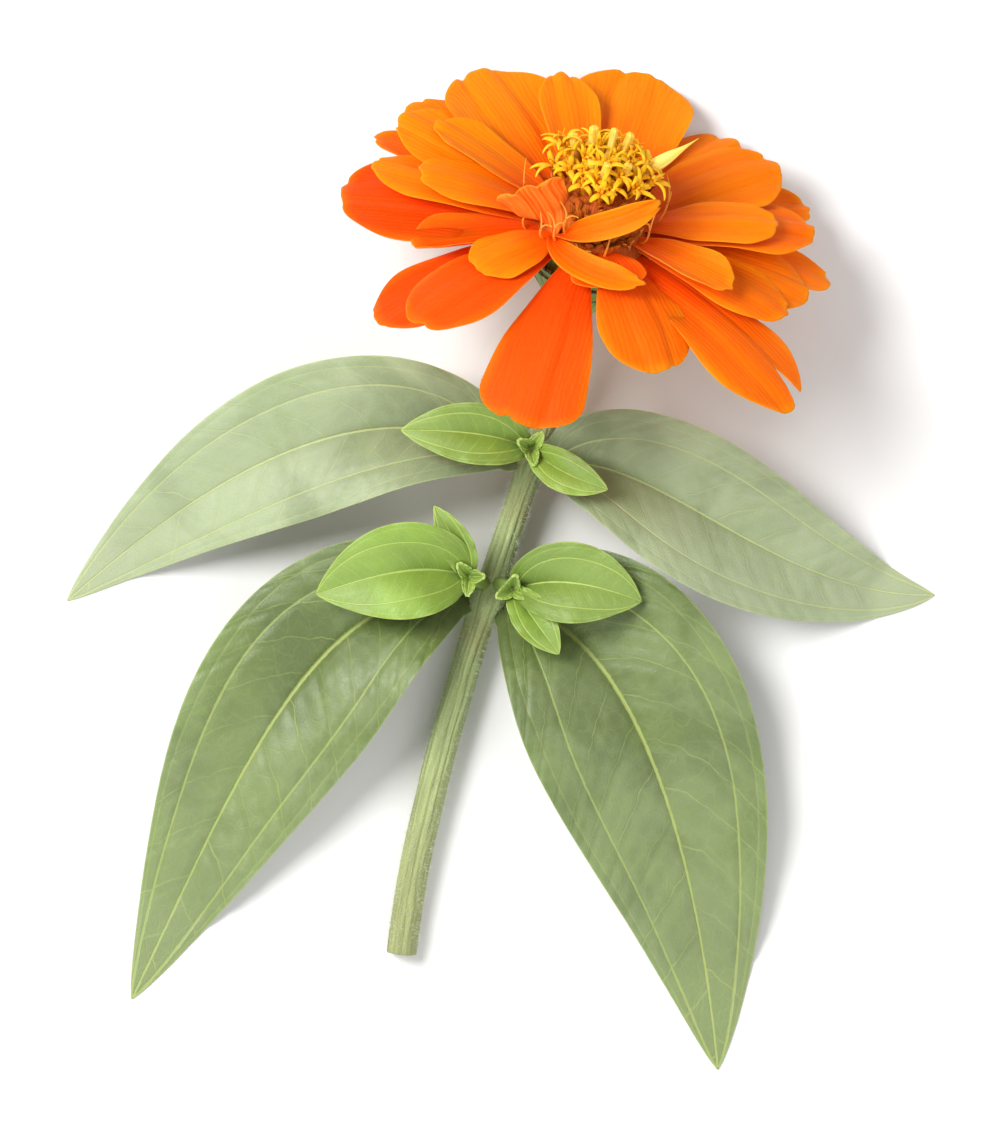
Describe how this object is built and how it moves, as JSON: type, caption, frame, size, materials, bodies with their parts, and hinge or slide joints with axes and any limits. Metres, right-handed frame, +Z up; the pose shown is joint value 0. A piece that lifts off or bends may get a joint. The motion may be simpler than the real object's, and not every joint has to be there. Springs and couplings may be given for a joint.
{
  "type": "zinnia flower",
  "caption": "Picked zinnia flower lying on a surface: layered bloom of broad rays, raised disc with open florets, green bract cup, curved stem, opposite leaves and young side shoots.",
  "frame": {"origin": "on the surface the flower lies on, under the middle of its box", "axes": "+Z up from the surface, +Y along the stem from the cut end towards the bloom, +X to the right as seen from above with the bloom away from the viewer"},
  "size_m": [0.1484, 0.1706, 0.0467],
  "materials": {
    "ray_orange": "soft velvety petal",
    "disc_yellow": "matte floret",
    "chaff_brown": "dry matte scale",
    "bract_green": "satin leaf with a dark edge",
    "stem_green": "matte with fine hairs",
    "leaf_sage": "matte leaf with a bloom",
    "leaf_green": "satin leaf",
    "shoot_lime": "satin young leaf"
  },
  "bodies": {
    "root": {"stem": "stem_green", "leaf_upper_right": "leaf_sage", "leaf_upper_left": "leaf_sage", "leaf_lower_right": "leaf_green", "leaf_lower_left": "leaf_green", "shoot_lower_left": "shoot_lime", "shoot_lower_right": "shoot_lime", "shoot_upper": "shoot_lime", "involucre": "bract_green", "ray_florets": "ray_orange", "chaff_cone": "chaff_brown", "disc_florets": "disc_yellow"}
  },
  "joints": []
}
